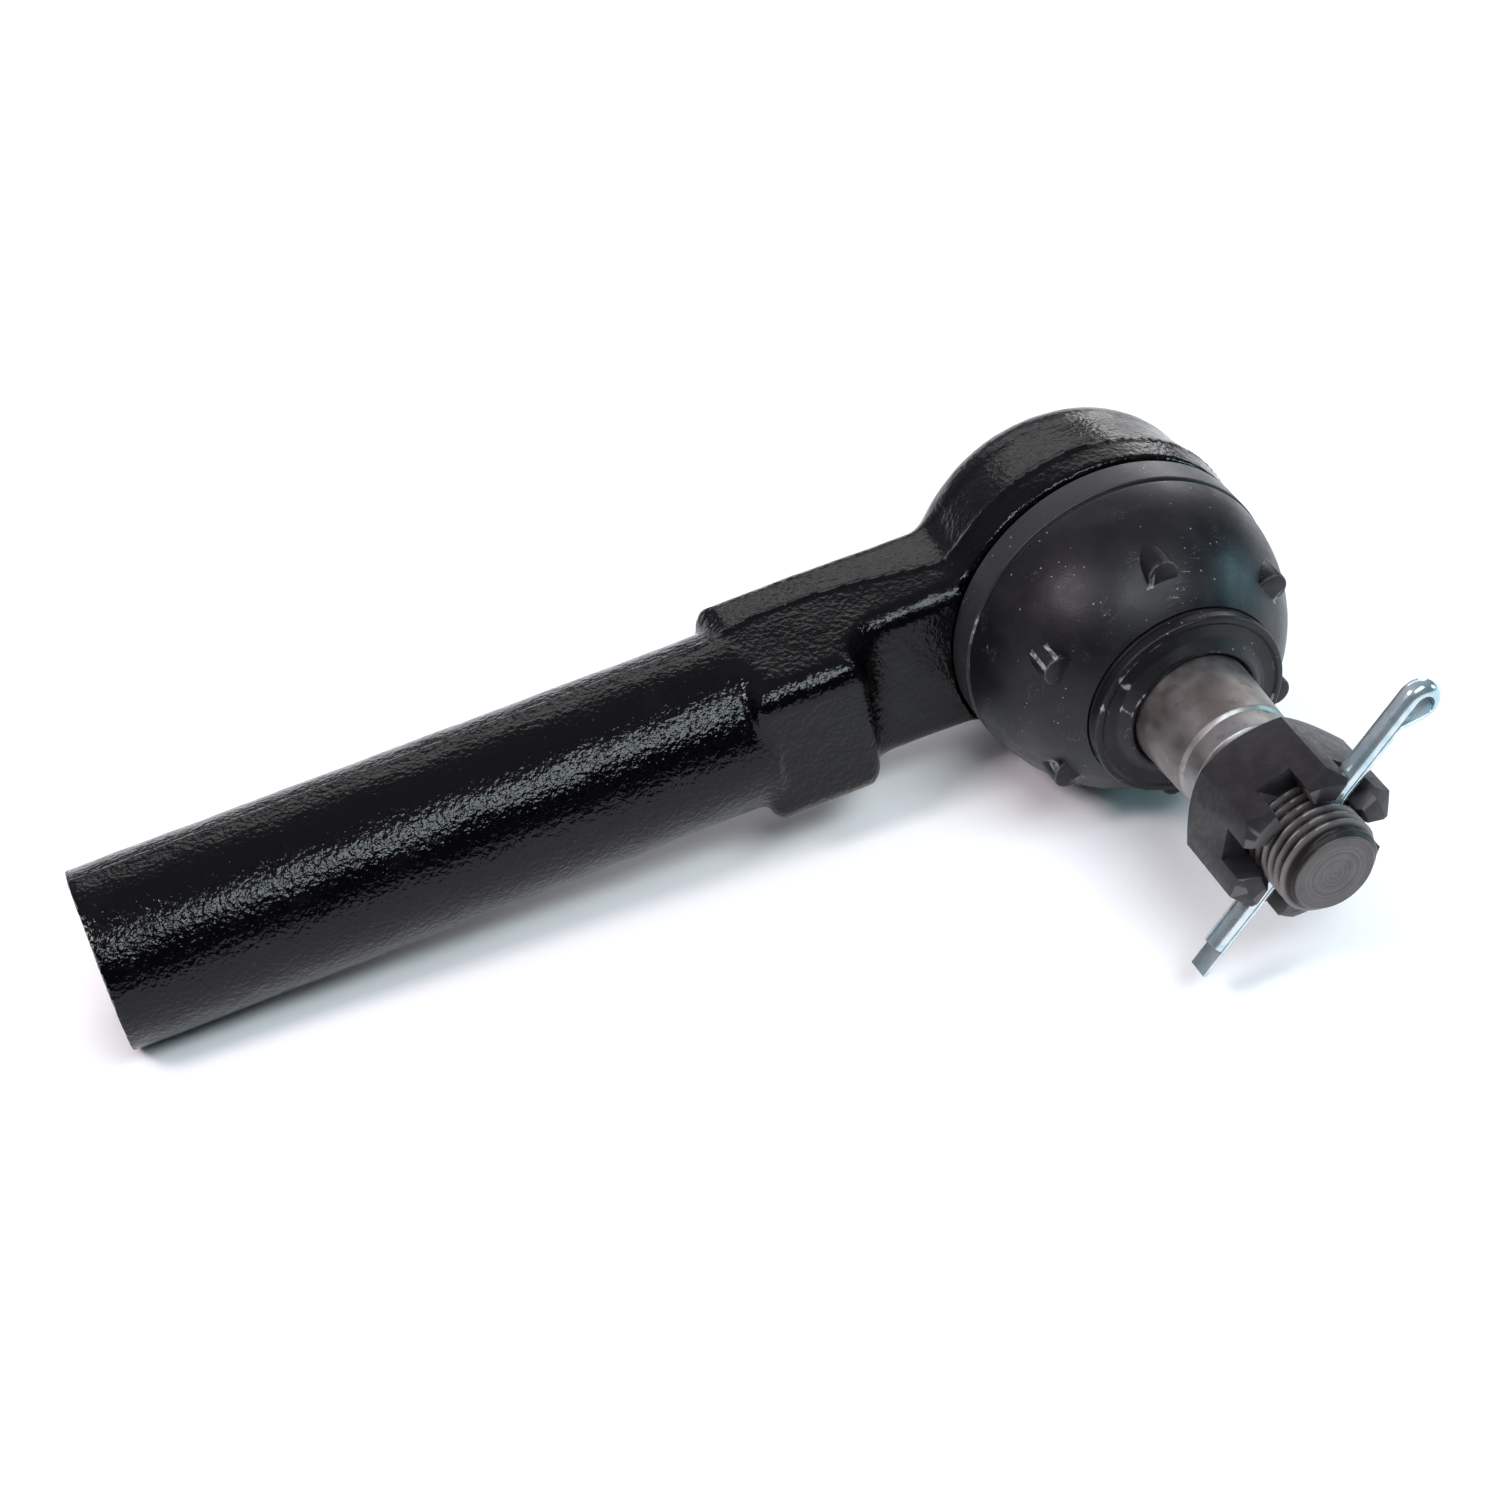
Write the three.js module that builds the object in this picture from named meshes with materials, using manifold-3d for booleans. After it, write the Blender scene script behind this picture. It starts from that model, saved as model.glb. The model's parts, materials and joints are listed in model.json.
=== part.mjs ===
// Outer tie rod end: a forged socket with a female threaded sleeve, a tapered ball stud, its dust boot,
// a castle nut and a cotter pin. Millimetres, +Z up. The origin is the centre of the ball. The sleeve's axis
// is X, with its open end at -X, and the stud leaves the socket along -Y.

import * as THREE from 'three';
import { mergeVertices } from 'three/addons/utils/BufferGeometryUtils.js';
import Module from 'manifold-3d';

const wasm = await Module();
wasm.setup();

// ---------------------------------------------------------------- driving dimensions

const GAP = 0.3;                 // clearance between neighbouring pieces
const ROUND = 48;                // facets round the large turned shapes
const ROUND_SMALL = 24;          // facets round the small ones

const THREAD_R = 7;              // M14 x 1.5 stud thread
const BALL_R = 13.2;
const BALL_FLAT = 10.6;          // the flat on the ball's back, from its centre
const STUD_NECK_R = 6.6;
const TAPER_BIG_R = 8.8;
const TAPER_SMALL_R = 8.25;
const TAPER_START = 19.5;        // distances along the stud are measured from the ball's centre
const TAPER_END = 42.6;
const SHOULDER_R = 7.8;
const SHOULDER_END = 48.2;
const STUD_END = 67.75;
const STUD_END_R = 5.4;

const NUT_ACROSS_FLATS = 21;
const NUT_START = 48.8;
const NUT_END = 62.7;
const NUT_SLOT_FLOOR = 58.1;
const NUT_SLOT_WIDTH = 5;
const NUT_TURN = 47.5;           // direction of one flat, in degrees from +X towards +Z

const PIN_R = 1.6;               // 3.2 x 38 cotter pin
const PIN_AT = 59.95;
const PIN_ASIDE = 0.4;           // the pin leans on one side of its hole
const PIN_TURN = 45.5;           // direction of the pin's eye, a little askew in its slot
const PIN_ROLL = -90;            // turn of the split between the legs about the pin's own axis
const PIN_LONG_LEG = 22.4;       // ends of the legs and of the eye, from the stud's axis
const PIN_SHORT_LEG = 18.4;
const PIN_EYE_START = 18.2;
const PIN_EYE_CENTRE = 22.7;
const PIN_EYE_HOLE_R = 1.4;      // only the long leg swells out round the eye
const PIN_SPLIT = 0.08;          // half the slit between the two legs

const SLEEVE_R = 12.7;
const SLEEVE_END = 146;          // open end of the sleeve, from the ball's centre
const SLEEVE_BORE_R = 7.2;       // minor radius of the M16 x 1.5 internal thread
const SLEEVE_BORE_DEPTH = 84;
const SLEEVE_MOUTH_R = 8.4;

const BOSS_FAR = 55;             // wrench boss, from the ball's centre
const BOSS_NEAR = 38;
const BOSS_HALF = 12.3;          // 24.6 mm across its flats
const BOSS_BACK = 12.2;
const BOSS_CORNER = 4.2;         // seen along the stud
const BOSS_BEVEL = 1.5;

const NECK_FRONT = 6.2;          // neck between boss and cup: its front face stands this far before the axis
const NECK_BACK = 11.9;
const NECK_HALF = 12.1;
const NECK_CORNER = 3;

const CUP_R = 24;
const CUP_LIP = 4.6;             // front shoulder that the boot's base sits against
const CUP_DRAFT_R = 23.2;        // where the cup's side turns into its rounded back
const CUP_BACK = 16.4;
const CUP_BACK_ROUND = 8.4;
const CUP_BORE_R = 16.2;
const MOUTH_R = 11.4;
const MOUTH_INNER = 7.3;         // inner and outer face of the rim that keeps the ball in
const MOUTH_RIM = 10.2;
const SEAT_R = 20.2;             // outer radius of the mouth rim, under the boot's base
const COVER_R = 17;
const COVER_INNER = 13.7;
const COVER_OUTER = 15;
const COVER_BOSS = 16.6;         // raised middle of the cover plate

const BOOT_BAND_R = 23.5;
const BOOT_BAND_END = 10.4;
const BOOT_DOME_R = 23.3;
const BOOT_DOME_CENTRE = 9.7;
const BOOT_WALL = 2.2;
const BOOT_COLLAR_R = 14.2;
const BOOT_COLLAR_START = 28.2;
const BOOT_COLLAR_END = 30.6;
const BOOT_LIP_R = 10.2;         // raised lip round the stud, in front of the collar
const BOOT_LIP_END = 31.7;
const BOOT_BORE_R = TAPER_BIG_R + GAP;
const NUB_COUNT = 6;
const NUB_FIRST = 30;            // degrees from +X towards +Z
const NUB_HALF = 2.2;            // half the width of a nub, which is a peg along the stud's direction
const NUB_BACK_R = 18.55;        // centre of its rounded back, from the stud's axis
const NUB_ROOT = 16;
const NUB_START = 15.5;
const NUB_END = 24.9;

// ---------------------------------------------------------------- helpers

const radians = THREE.MathUtils.degToRad;

/** The triangles of a closed geometry as a manifold-3d solid, with its faces turned outwards. */
function solid(geometry) {
  const bare = geometry.clone();
  bare.deleteAttribute('normal');
  bare.deleteAttribute('uv');
  const merged = mergeVertices(bare, 1e-5);
  const corner = merged.attributes.position;
  const faces = [];
  for (let i = 0; i < merged.index.count; i += 3) {
    const [a, b, c] = [0, 1, 2].map((k) => merged.index.getX(i + k));
    if (a !== b && b !== c && c !== a) faces.push(a, b, c);
  }
  if (signedVolume(corner, faces) < 0) {
    faces.reverse();
  }
  return new wasm.Manifold(new wasm.Mesh({
    numProp: 3,
    vertProperties: new Float32Array(corner.array),
    triVerts: new Uint32Array(faces),
  }));
}

function signedVolume(corner, faces) {
  const [a, b, c] = [new THREE.Vector3(), new THREE.Vector3(), new THREE.Vector3()];
  let total = 0;
  for (let i = 0; i < faces.length; i += 3) {
    a.fromBufferAttribute(corner, faces[i]);
    b.fromBufferAttribute(corner, faces[i + 1]);
    c.fromBufferAttribute(corner, faces[i + 2]);
    total += a.dot(b.cross(c)) / 6;
  }
  return total;
}

/** A manifold-3d solid as a three.js geometry with flat shading normals. */
function toGeometry(body) {
  const mesh = body.getMesh();
  const geometry = new THREE.BufferGeometry();
  geometry.setAttribute('position', new THREE.BufferAttribute(new Float32Array(mesh.vertProperties), 3));
  geometry.setIndex(new THREE.BufferAttribute(new Uint32Array(mesh.triVerts), 1));
  geometry.computeVertexNormals();
  return geometry;
}

/** Turned about the stud's axis: a closed outline of [radius, distance along the stud] points. */
function turned(outline, facets = ROUND) {
  const points = outline.map(([r, along]) => new THREE.Vector2(r, -along));
  const closed = points[0].x > 0 || points.at(-1).x > 0;
  if (closed) points.push(points[0].clone());
  return solid(new THREE.LatheGeometry(points, facets));
}

/** Points of an arc in a turned outline, from one angle to another, in degrees from the radial direction. */
function arc(centreR, centreAlong, radius, from, to, steps) {
  return Array.from({ length: steps + 1 }, (_, i) => {
    const angle = radians(from + ((to - from) * i) / steps);
    return [centreR + radius * Math.cos(angle), centreAlong + radius * Math.sin(angle)];
  });
}

/** The other side of a right triangle: where a sphere has a given radius, or its radius at a given place. */
const reach = (sphere, side) => Math.sqrt(sphere * sphere - side * side);

/** The angle from the equator to a point of a sphere, in degrees, from that point's height over the centre. */
const angleAt = (sphere, height) => THREE.MathUtils.radToDeg(Math.asin(height / sphere));

const [X, Y, Z] = [[1, 0, 0], [0, 1, 0], [0, 0, 1]].map((axis) => new THREE.Vector3(...axis));
const ALONG_X = new THREE.Matrix4().makeBasis(Y, Z, X);
const ALONG_Y = new THREE.Matrix4().makeBasis(X.clone().negate(), Z, Y);

/**
 * A rounded rectangle, extruded with bevelled ends. With ALONG_X its section lies in the YZ plane.
 * With ALONG_Y its section lies in the XZ plane, and the section's first pair of limits counts towards -X.
 */
function roundedBar(direction, yLow, yHigh, zHalf, corner, xLow, xHigh, bevel) {
  const [y0, y1, z, r] = [yLow + bevel, yHigh - bevel, zHalf - bevel, corner - bevel];
  const outline = new THREE.Shape();
  outline.moveTo(y0 + r, -z);
  outline.lineTo(y1 - r, -z);
  outline.absarc(y1 - r, -z + r, r, -Math.PI / 2, 0);
  outline.lineTo(y1, z - r);
  outline.absarc(y1 - r, z - r, r, 0, Math.PI / 2);
  outline.lineTo(y0 + r, z);
  outline.absarc(y0 + r, z - r, r, Math.PI / 2, Math.PI);
  outline.lineTo(y0, -z + r);
  outline.absarc(y0 + r, -z + r, r, Math.PI, 1.5 * Math.PI);
  const geometry = new THREE.ExtrudeGeometry(outline, {
    depth: xHigh - xLow - 2 * bevel,
    bevelEnabled: bevel > 0,
    bevelThickness: bevel,
    bevelSize: bevel,
    bevelSegments: 3,
    curveSegments: 8,
  });
  geometry.translate(0, 0, xLow + bevel);
  return solid(geometry.applyMatrix4(direction));
}

/** Turned about the sleeve's axis: a closed outline of [radius, distance from the ball's centre] points. */
function turnedSleeve(outline) {
  const points = outline.map(([r, away]) => new THREE.Vector2(r, away));
  return solid(new THREE.LatheGeometry(points, ROUND).rotateZ(Math.PI / 2));
}

/** A straight round bar across the stud's axis. */
function crossBar(radius, length, turn, along) {
  const bar = new THREE.CylinderGeometry(radius, radius, length, 24);
  bar.rotateZ(-Math.PI / 2);
  bar.rotateY(-radians(turn));
  bar.translate(0, -along, 0);
  return solid(bar);
}

const group = new THREE.Group();

function add(name, geometry, color, roughness, metalness) {
  const material = new THREE.MeshStandardMaterial({ color, roughness, metalness });
  const mesh = new THREE.Mesh(geometry, material);
  mesh.name = name;
  group.add(mesh);
}

const BLACK_PAINT = [0x0c0d0f, 0.35, 0.3];
const RUBBER = [0x1b1c1e, 0.7, 0.0];
const BARE_STEEL = [0x7d7672, 0.4, 0.9];
const BLACK_OXIDE = [0x35353a, 0.55, 0.6];
const ZINC = [0xb9c3cb, 0.25, 1.0];
const SPRING_STEEL = [0x5a5d62, 0.4, 0.9];
const BEARING_RESIN = [0xd8d2bd, 0.5, 0.0];

// ---------------------------------------------------------------- socket forging

function housing() {
  const sleeve = turnedSleeve([
    [0, BOSS_FAR - 1],
    [SLEEVE_R, BOSS_FAR - 1],
    [SLEEVE_R, SLEEVE_END - 0.8],
    [SLEEVE_R - 0.8, SLEEVE_END],
    [0, SLEEVE_END],
  ]);
  const drillTip = SLEEVE_BORE_R * Math.tan(radians(31));
  const boreEnd = SLEEVE_END - SLEEVE_BORE_DEPTH;
  const bore = turnedSleeve([
    [0, boreEnd - drillTip],
    [SLEEVE_BORE_R, boreEnd],
    [SLEEVE_BORE_R, SLEEVE_END - (SLEEVE_MOUTH_R - SLEEVE_BORE_R)],
    [SLEEVE_MOUTH_R, SLEEVE_END],
    [SLEEVE_MOUTH_R, SLEEVE_END + 1],
    [0, SLEEVE_END + 1],
  ]);
  const boss = roundedBar(
    ALONG_Y, BOSS_NEAR, BOSS_FAR, BOSS_HALF, BOSS_CORNER, -BOSS_HALF, BOSS_BACK, BOSS_BEVEL);
  const neck = roundedBar(
    ALONG_X, -NECK_FRONT, NECK_BACK, NECK_HALF, NECK_CORNER, -BOSS_FAR + 2.4, -CUP_BORE_R, 0);
  const bootRoom = turned([
    [0, CUP_LIP],
    [BOOT_BAND_R + GAP, CUP_LIP],
    [BOOT_BAND_R + GAP, MOUTH_RIM],
    [0, MOUTH_RIM],
  ]);
  const cup = turned([
    [0, MOUTH_RIM],
    [SEAT_R - 0.6, MOUTH_RIM],
    [SEAT_R, MOUTH_RIM - 0.6],
    [SEAT_R, CUP_LIP],
    [CUP_R - 0.9, CUP_LIP],
    [CUP_R - 0.3, CUP_LIP - 0.6],
    [CUP_R, 0],
    ...arc(CUP_DRAFT_R - CUP_BACK_ROUND, CUP_BACK_ROUND - CUP_BACK, CUP_BACK_ROUND, 0, -70, 6),
    [COVER_R - 0.2, -CUP_BACK],
    [0, -CUP_BACK],
  ]);
  const cavity = turned([
    [0, MOUTH_RIM + 1],
    [MOUTH_R + 1.9, MOUTH_RIM + 1],
    [MOUTH_R + 1.7, MOUTH_RIM],
    [MOUTH_R, MOUTH_INNER + 0.6],
    [MOUTH_R, MOUTH_INNER],
    [CUP_BORE_R, MOUTH_INNER],
    [CUP_BORE_R, GAP - COVER_INNER],
    [COVER_R + GAP, GAP - COVER_INNER],
    [COVER_R + GAP, -COVER_OUTER - GAP],
    [COVER_R - 1.4, -COVER_OUTER - GAP],
    [COVER_R - 1.4, -CUP_BACK - 1],
    [0, -CUP_BACK - 1],
  ]);
  return sleeve.add(boss).add(neck.subtract(bootRoom)).add(cup).subtract(bore).subtract(cavity);
}

add('housing', toGeometry(housing()), ...BLACK_PAINT);

// ---------------------------------------------------------------- inside the socket

const FITTING_SHANK_R = 3;
const BEARING_R = CUP_BORE_R - GAP;
const BEARING_INNER_R = BALL_R + GAP;

/** Ring round the front half of the ball, which holds the ball in the socket. */
function frontBearing() {
  const [front, back] = [MOUTH_INNER - GAP, -0.4];
  return turned([
    [BEARING_R, back],
    [BEARING_R, front],
    ...arc(0, 0, BEARING_INNER_R, angleAt(BEARING_INNER_R, front), 0, 5),
    [BEARING_INNER_R, back],
  ]);
}

/** Cup behind the ball, pressed forwards by the preload spring and open in its middle for the grease. */
function rearBearing() {
  const [front, edge, back] = [-0.8, -11.3, -12.2];
  return turned([
    [BEARING_R, front],
    ...arc(0, 0, BEARING_INNER_R, angleAt(BEARING_INNER_R, front), angleAt(BEARING_INNER_R, edge), 7),
    [reach(BEARING_INNER_R, edge), back],
    [BEARING_R, back],
  ]);
}

/** Conical spring washer between the rear bearing and the cover plate. */
function preloadSpring() {
  const [inner, outer, front, thickness, rise] = [8.2, 14.8, -12.5, 0.5, 0.4];
  return turned([
    [inner, front],
    [inner, front - thickness],
    [outer, front - thickness - rise],
    [outer, front - rise],
  ]);
}

/** Stamped plate that closes the back of the socket. The socket's rim is rolled over its edge. */
function coverPlate() {
  const holeR = FITTING_SHANK_R + GAP;
  return turned([
    [holeR, -COVER_INNER],
    [holeR, -COVER_BOSS],
    [6.2, -COVER_BOSS],
    [7.6, -COVER_OUTER],
    [COVER_R, -COVER_OUTER],
    [COVER_R, -COVER_INNER],
  ]);
}

add('front_bearing', toGeometry(frontBearing()), ...BEARING_RESIN);
add('rear_bearing', toGeometry(rearBearing()), ...BEARING_RESIN);
add('preload_spring', toGeometry(preloadSpring()), ...SPRING_STEEL);
add('cover_plate', toGeometry(coverPlate()), ...BLACK_PAINT);

// ---------------------------------------------------------------- grease fitting

const FITTING_HEX_R = 4.04;
const FITTING_HEX_START = COVER_BOSS + GAP;
const FITTING_HEX_END = FITTING_HEX_START + 3;
const FITTING_TIP = FITTING_HEX_END + 6.6;
const CHECK_BALL_R = 1.25;
const CHECK_BALL_AT = FITTING_TIP - 1.9;
const CHAMBER_R = 1.65;
const CHAMBER_FLOOR = FITTING_HEX_START + 1;

/** Nipple with a hexagon, a grooved head and a chamber for the check ball and its spring. */
function greaseFitting() {
  const stem = turned([
    [0, -FITTING_HEX_END + 0.8],
    [2.9, -FITTING_HEX_END + 0.8],
    [2.9, -FITTING_HEX_END - 1],
    [2.2, -FITTING_HEX_END - 2.2],
    [2.2, -FITTING_HEX_END - 3],
    [3.25, -FITTING_HEX_END - 4.2],
    [3.25, -FITTING_HEX_END - 4.9],
    [1.9, -FITTING_TIP],
    [0, -FITTING_TIP],
  ], ROUND_SMALL);
  const shankStart = COVER_INNER + 0.2;
  const shank = turned([
    [0, -shankStart],
    [FITTING_SHANK_R - 0.3, -shankStart],
    [FITTING_SHANK_R, -shankStart - 0.3],
    [FITTING_SHANK_R, -FITTING_HEX_START - 1],
    [0, -FITTING_HEX_START - 1],
  ], ROUND_SMALL);
  const hexagon = new THREE.CylinderGeometry(
    FITTING_HEX_R, FITTING_HEX_R, FITTING_HEX_END - FITTING_HEX_START, 6);
  hexagon.translate(0, (FITTING_HEX_START + FITTING_HEX_END) / 2, 0);
  const passage = turned([
    [0, -13],
    [1, -13],
    [1, -CHAMBER_FLOOR],
    [CHAMBER_R, -CHAMBER_FLOOR],
    [CHAMBER_R, -CHECK_BALL_AT],
    [0.8, -FITTING_TIP + 0.6],
    [0.8, -FITTING_TIP - 1],
    [0, -FITTING_TIP - 1],
  ], ROUND_SMALL);
  return stem.add(shank).add(solid(hexagon)).subtract(passage);
}

/** Coil spring that holds the check ball against the fitting's mouth. */
class SpringLine extends THREE.Curve {
  getPoint(t) {
    const turns = 4;
    const angle = 2 * Math.PI * turns * t;
    const low = CHAMBER_FLOOR + 0.5;
    const high = CHECK_BALL_AT - CHECK_BALL_R - 0.5;
    return new THREE.Vector3(Math.cos(angle), low + (high - low) * t, Math.sin(angle));
  }
}

const wire = new THREE.Shape().absarc(0, 0, 0.2, 0, 2 * Math.PI);
const checkSpring = new THREE.ExtrudeGeometry(wire, {
  steps: 44, extrudePath: new SpringLine(), curveSegments: 3, bevelEnabled: false,
});
const checkBall = new THREE.SphereGeometry(CHECK_BALL_R, 16, 10);
checkBall.translate(0, CHECK_BALL_AT, 0);

add('grease_fitting', toGeometry(greaseFitting()), ...ZINC);
add('check_ball', toGeometry(solid(checkBall)), ...BARE_STEEL);
add('check_spring', toGeometry(solid(checkSpring)), ...SPRING_STEEL);

// ---------------------------------------------------------------- ball stud

function ballStud() {
  const neckStart = reach(BALL_R, STUD_NECK_R);
  const stud = turned([
    [0, -BALL_FLAT],
    ...arc(0, 0, BALL_R, -angleAt(BALL_R, BALL_FLAT), angleAt(BALL_R, neckStart), 16),
    [STUD_NECK_R, 14.2],
    [STUD_NECK_R + 0.7, 16],
    [TAPER_BIG_R - 0.6, 18.2],
    [TAPER_BIG_R, TAPER_START],
    [TAPER_BIG_R, 27],
    [TAPER_SMALL_R, TAPER_END],
    [SHOULDER_R, TAPER_END + 0.8],
    [SHOULDER_R - 0.1, SHOULDER_END - 0.5],
    [THREAD_R - 0.05, SHOULDER_END],
    [THREAD_R - 0.05, STUD_END - (THREAD_R - STUD_END_R)],
    [STUD_END_R, STUD_END],
    [0, STUD_END],
  ]);
  return stud.subtract(crossBar(PIN_R + PIN_ASIDE + 0.2, 30, PIN_TURN, PIN_AT));
}

add('ball_stud', toGeometry(ballStud()), ...BARE_STEEL);

// ---------------------------------------------------------------- castle nut

function castleNut() {
  const cornerR = NUT_ACROSS_FLATS / Math.sqrt(3);
  const hexagon = new THREE.CylinderGeometry(cornerR, cornerR, NUT_END - NUT_START, 6);
  // the first corner of the cylinder lies on +Z, half a face away from a flat's normal
  hexagon.rotateY(radians(60 - NUT_TURN));
  hexagon.translate(0, -(NUT_START + NUT_END) / 2, 0);
  const chamfers = turned([
    [0, NUT_START],
    [cornerR - 2, NUT_START],
    [cornerR + 0.2, NUT_START + 1.6],
    [cornerR + 0.2, NUT_END - 1.4],
    [cornerR - 2.2, NUT_END],
    [0, NUT_END],
  ]);
  const bore = turned([
    [0, NUT_START - 1],
    [THREAD_R + 1.05, NUT_START - 0.2],
    [THREAD_R + GAP, NUT_START + 0.6],
    [THREAD_R + GAP, NUT_END + 1],
    [0, NUT_END + 1],
  ]);
  let nut = solid(hexagon).intersect(chamfers).subtract(bore);
  for (let i = 0; i < 3; i += 1) {
    const slot = new THREE.BoxGeometry(3 * cornerR, NUT_END - NUT_SLOT_FLOOR + 1, NUT_SLOT_WIDTH);
    slot.translate(0, -(NUT_SLOT_FLOOR + NUT_END + 1) / 2, 0);
    slot.rotateY(-radians(NUT_TURN + 60 * i));
    nut = nut.subtract(solid(slot));
  }
  return nut;
}

add('castle_nut', toGeometry(castleNut()), ...BLACK_OXIDE);

// ---------------------------------------------------------------- cotter pin

/** The inside line of the folded half-round wire: long leg, eye, short leg. It lies in one plane. */
class PinLine extends THREE.Curve {
  constructor(places) {
    super();
    this.places = places;
  }

  getPoint(t) {
    const at = t * (this.places.length - 1);
    const i = Math.min(Math.floor(at), this.places.length - 2);
    return this.places[i].clone().lerp(this.places[i + 1], at - i);
  }

  getSpacedPoints() {
    return this.places;
  }

  computeFrenetFrames() {
    const last = this.places.length - 1;
    const tangents = this.places.map((_, i) => {
      const before = this.places[Math.max(i - 1, 0)];
      const after = this.places[Math.min(i + 1, last)];
      return after.clone().sub(before).normalize();
    });
    const across = new THREE.Vector3(0, 0, 1);
    const binormals = tangents.map(() => across.clone());
    const normals = tangents.map((tangent) => across.clone().cross(tangent));
    return { tangents, normals, binormals };
  }
}

function pinPlaces() {
  const swell = 2 * PIN_EYE_HOLE_R - PIN_SPLIT;
  const flare = new THREE.CubicBezierCurve3(
    new THREE.Vector3(PIN_EYE_START, PIN_SPLIT, 0),
    new THREE.Vector3(PIN_EYE_START + 2.2, PIN_SPLIT, 0),
    new THREE.Vector3(PIN_EYE_CENTRE - 2, swell, 0),
    new THREE.Vector3(PIN_EYE_CENTRE, swell, 0));
  const bend = Array.from({ length: 10 }, (_, i) => {
    const angle = Math.PI / 2 - (Math.PI * (i + 1)) / 10;
    return new THREE.Vector3(
      PIN_EYE_CENTRE + PIN_EYE_HOLE_R * Math.cos(angle),
      PIN_EYE_HOLE_R - PIN_SPLIT + PIN_EYE_HOLE_R * Math.sin(angle), 0);
  });
  return [
    new THREE.Vector3(-PIN_LONG_LEG, PIN_SPLIT, 0),
    ...flare.getPoints(9),
    ...bend,
    new THREE.Vector3(-PIN_SHORT_LEG, -PIN_SPLIT, 0),
  ];
}

function cotterPin() {
  const halfRound = new THREE.Shape().absarc(0, 0, PIN_R - PIN_SPLIT, -Math.PI / 2, Math.PI / 2);
  const places = pinPlaces();
  const geometry = new THREE.ExtrudeGeometry(halfRound, {
    steps: places.length - 1, extrudePath: new PinLine(places), curveSegments: 5, bevelEnabled: false,
  });
  geometry.rotateX(radians(PIN_ROLL));
  geometry.translate(0, 0, PIN_ASIDE);
  geometry.rotateY(-radians(PIN_TURN));
  geometry.translate(0, -PIN_AT, 0);
  return solid(geometry);
}

add('cotter_pin', toGeometry(cotterPin()), ...ZINC);

// ---------------------------------------------------------------- dust boot and its rings

const BASE_RING = { inner: SEAT_R + GAP, outer: SEAT_R + 1.4, start: 6.8, end: 8.8 };
const NECK_RING = { centre: 10.5, along: 28.5, wire: 0.7 };

function bootShell() {
  const inner = BOOT_DOME_R - BOOT_WALL;
  const underRoof = 13;
  const dome = (sphere, low, high, steps) =>
    arc(0, BOOT_DOME_CENTRE, sphere, angleAt(sphere, low), angleAt(sphere, high), steps);
  const ringFront = NECK_RING.along + NECK_RING.wire + GAP;
  const ringBack = NECK_RING.along - NECK_RING.wire - GAP;
  const grooveR = NECK_RING.centre + NECK_RING.wire + GAP;
  return turned([
    [SEAT_R + GAP, CUP_LIP + GAP],
    [BOOT_BAND_R - 0.5, CUP_LIP + GAP],
    [BOOT_BAND_R, CUP_LIP + GAP + 0.5],
    [BOOT_BAND_R, BOOT_BAND_END - 0.5],
    [BOOT_BAND_R - 0.3, BOOT_BAND_END - 0.1],
    [BOOT_DOME_R - 0.3, BOOT_BAND_END],
    ...dome(BOOT_DOME_R, 1.8, reach(BOOT_DOME_R, BOOT_COLLAR_R + 0.1), 9),
    [BOOT_COLLAR_R - 0.5, BOOT_COLLAR_START],
    [BOOT_COLLAR_R, BOOT_COLLAR_START + 0.5],
    [BOOT_COLLAR_R, BOOT_COLLAR_END - 0.8],
    [BOOT_COLLAR_R - 0.7, BOOT_COLLAR_END - 0.1],
    [BOOT_LIP_R + 1, BOOT_COLLAR_END],
    [BOOT_LIP_R, BOOT_COLLAR_END + 0.5],
    [BOOT_LIP_R - 0.4, BOOT_LIP_END],
    [BOOT_BORE_R, BOOT_LIP_END],
    [BOOT_BORE_R, ringFront],
    [grooveR, ringFront],
    [grooveR, ringBack],
    [BOOT_BORE_R, ringBack],
    [BOOT_BORE_R, ringBack - 0.9],
    ...dome(inner, reach(inner, underRoof), 1.8, 7),
    [SEAT_R + GAP, 10.6],
    [SEAT_R + GAP, BASE_RING.end + GAP],
    [BASE_RING.outer + GAP, BASE_RING.end + GAP],
    [BASE_RING.outer + GAP, BASE_RING.start - GAP],
    [SEAT_R + GAP, BASE_RING.start - GAP],
  ]);
}

/** One of the boot's nubs: a peg along the stud's direction that rises out of the dome. */
function nub(turn) {
  const section = new THREE.Shape();
  section.moveTo(NUB_HALF, NUB_ROOT);
  section.absarc(0, NUB_BACK_R, NUB_HALF, 0, Math.PI);
  section.lineTo(-NUB_HALF, NUB_ROOT);
  const peg = new THREE.ExtrudeGeometry(section, {
    depth: NUB_END - NUB_START, bevelEnabled: false, curveSegments: 7,
  });
  peg.rotateX(Math.PI / 2);
  peg.translate(0, -NUB_START, 0);
  peg.rotateY(radians(90 - turn));
  return solid(peg);
}

function dustBoot() {
  let boot = bootShell();
  for (let i = 0; i < NUB_COUNT; i += 1) {
    boot = boot.add(nub(NUB_FIRST + (360 / NUB_COUNT) * i));
  }
  return boot;
}

add('dust_boot', toGeometry(dustBoot()), ...RUBBER);
add('boot_base_ring', toGeometry(turned([
  [BASE_RING.inner + 0.1, BASE_RING.start],
  [BASE_RING.outer, BASE_RING.start],
  [BASE_RING.outer, BASE_RING.end],
  [BASE_RING.inner + 0.1, BASE_RING.end],
])), ...SPRING_STEEL);
add('boot_neck_ring', toGeometry(
  turned(arc(NECK_RING.centre, NECK_RING.along, NECK_RING.wire, 0, 315, 7))), ...SPRING_STEEL);

export default group;
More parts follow.
